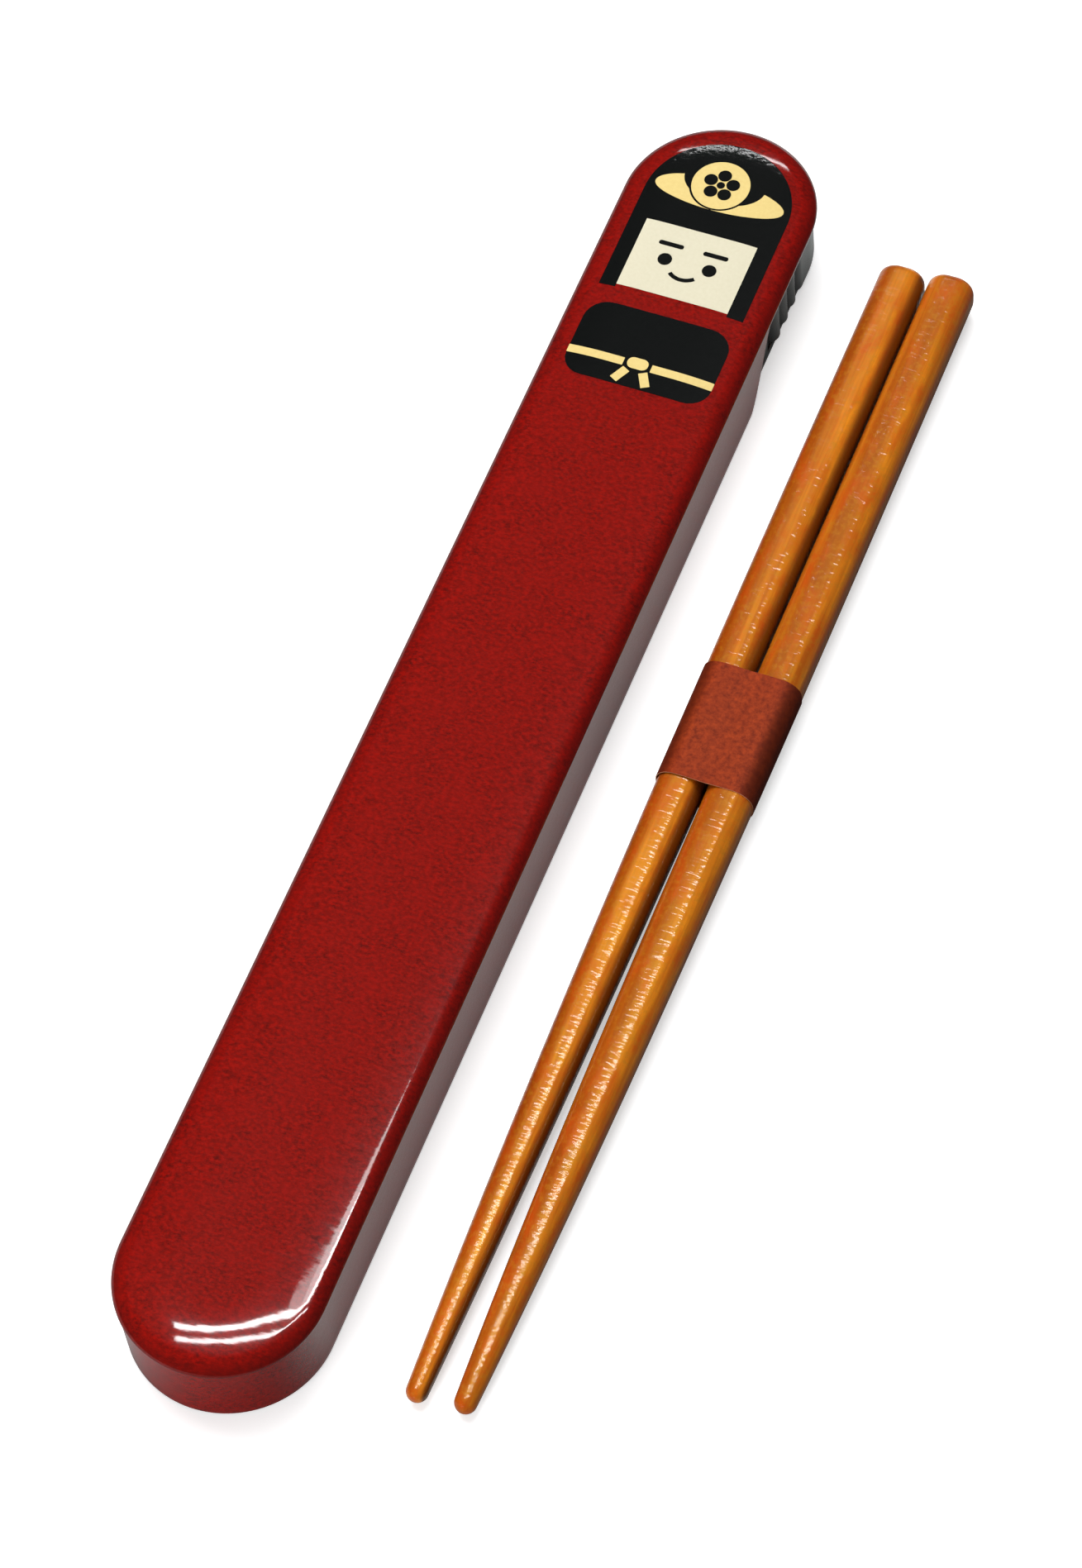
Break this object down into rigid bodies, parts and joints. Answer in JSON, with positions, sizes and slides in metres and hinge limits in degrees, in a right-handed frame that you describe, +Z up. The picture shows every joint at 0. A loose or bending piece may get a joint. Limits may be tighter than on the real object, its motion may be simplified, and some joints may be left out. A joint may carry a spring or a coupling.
{
  "type": "chopstick case with chopsticks",
  "caption": "Slim round-ended travel case whose rolled-edge lid slides off a ribbed tray, beside tapered wooden chopsticks held together by a paper band.",
  "frame": {"origin": "centre of the closed case's flat underside, on the surface that it lies on", "axes": "+Y along the case towards the grip end with the printed figure, +X across it towards the chopsticks, +Z up out of the lid"},
  "size_m": [0.0505, 0.2, 0.0136],
  "materials": {
    "black_tray": "gloss",
    "red_lacquer": "gloss",
    "ink_black": "gloss",
    "ink_cream": "gloss",
    "ink_gold": "gloss",
    "lacquered_wood": "gloss",
    "band_paper": "matte"
  },
  "bodies": {
    "tray": {"tray": "black_tray"},
    "lid": {"lid": "red_lacquer", "print_base": "ink_black", "print_cream": "ink_cream", "print_gold": "ink_gold", "print_lines": "ink_black"},
    "paper_band": {"paper_band": "band_paper"},
    "chopstick_left": {"chopstick_left": "lacquered_wood"},
    "chopstick_right": {"chopstick_right": "lacquered_wood"}
  },
  "joints": [
    {"name": "lid_slide", "type": "slide", "parent": "tray", "child": "lid", "axis": [0, -1, 0], "range_m": [0, 0.205]},
    {"name": "bundle_lift", "type": "slide", "parent": "tray", "child": "paper_band", "axis": [0, 0, 1], "range_m": [0, 0.05]},
    {"name": "left_chopstick_pull", "type": "slide", "parent": "paper_band", "child": "chopstick_left", "axis": [0, 1, 0], "range_m": [0, 0.11]},
    {"name": "right_chopstick_pull", "type": "slide", "parent": "paper_band", "child": "chopstick_right", "axis": [0, 1, 0], "range_m": [0, 0.11]}
  ]
}
